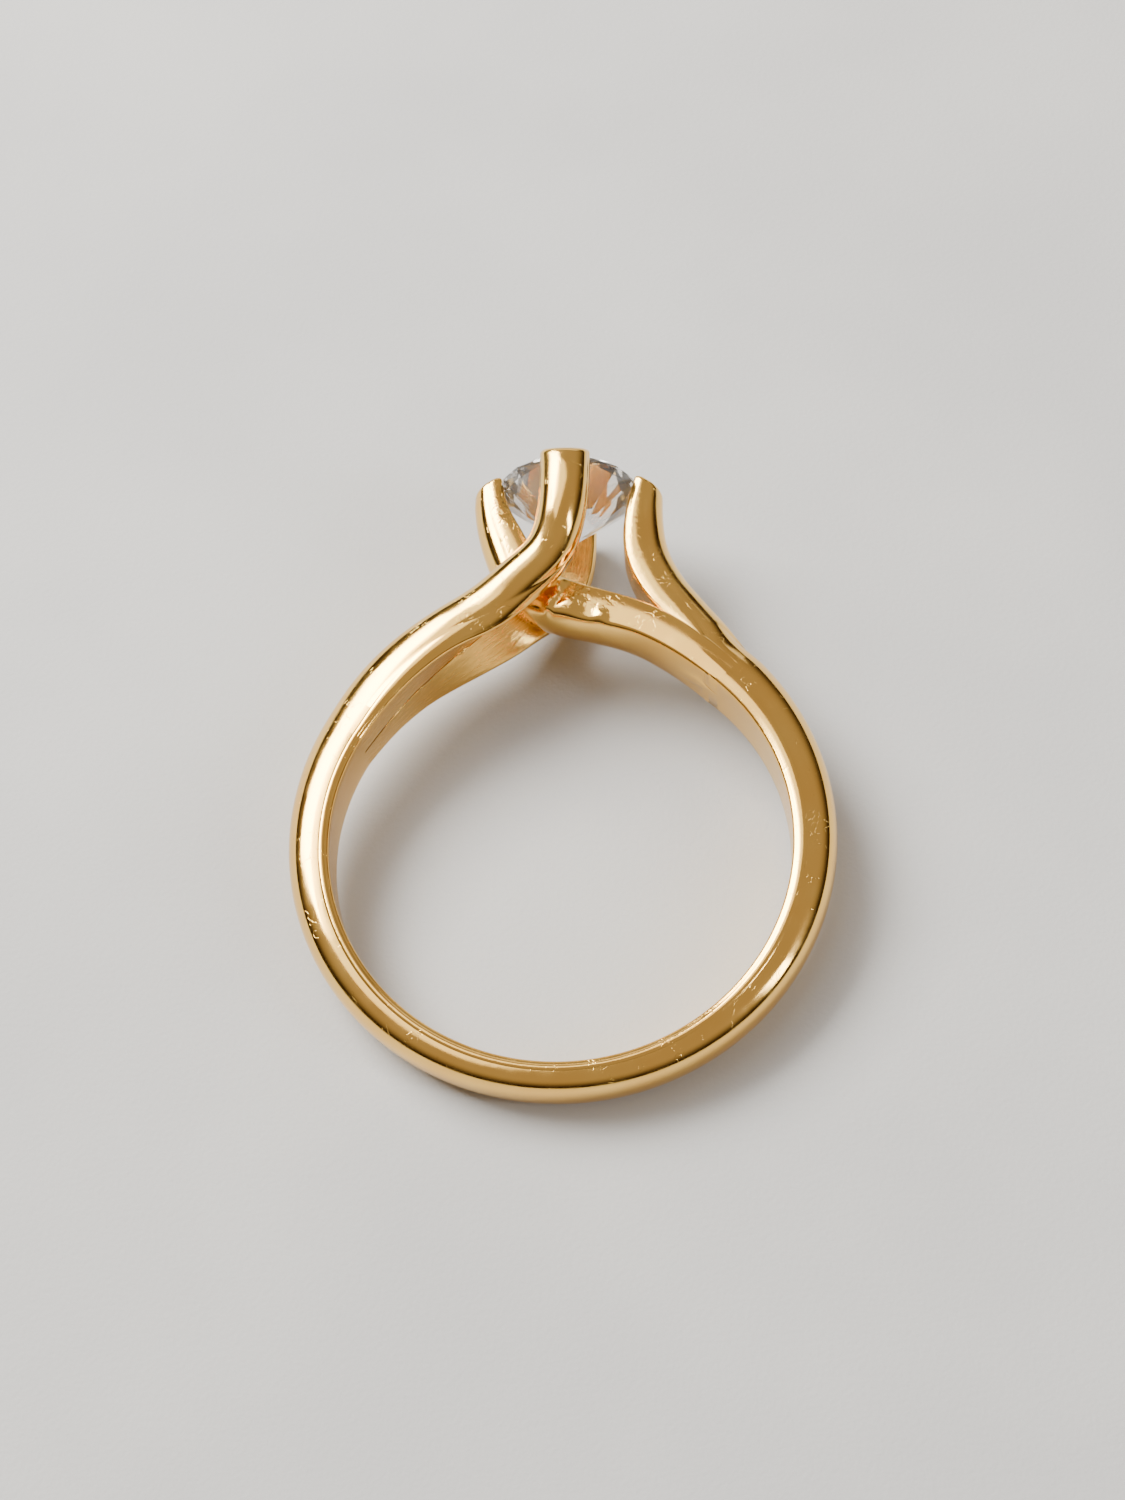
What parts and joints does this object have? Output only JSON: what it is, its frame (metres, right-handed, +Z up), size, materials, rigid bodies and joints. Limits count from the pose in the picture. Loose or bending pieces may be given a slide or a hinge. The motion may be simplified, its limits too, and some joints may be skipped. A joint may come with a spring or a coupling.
{
  "type": "solitaire engagement ring",
  "caption": "Finger ring with a forked band whose four arms cross under a round brilliant stone and rise as its prongs, lying on its side.",
  "frame": {"origin": "on the surface that the ring lies on, under the middle of the whole ring's box", "axes": "+Z up from the surface, +Y from the finger hole towards the stone, +X to the right as the ring lies on its rear side"},
  "size_m": [0.0202, 0.0256, 0.0075],
  "materials": {
    "gold": "polished yellow gold, lightly worn, brushed on the insides",
    "diamond": "polished facets"
  },
  "bodies": {
    "root": {"shank_left": "gold", "shank_right": "gold", "arm_front_prong": "gold", "arm_rear_prong": "gold", "arm_right_prong": "gold", "arm_left_prong": "gold", "diamond": "diamond"}
  },
  "joints": []
}
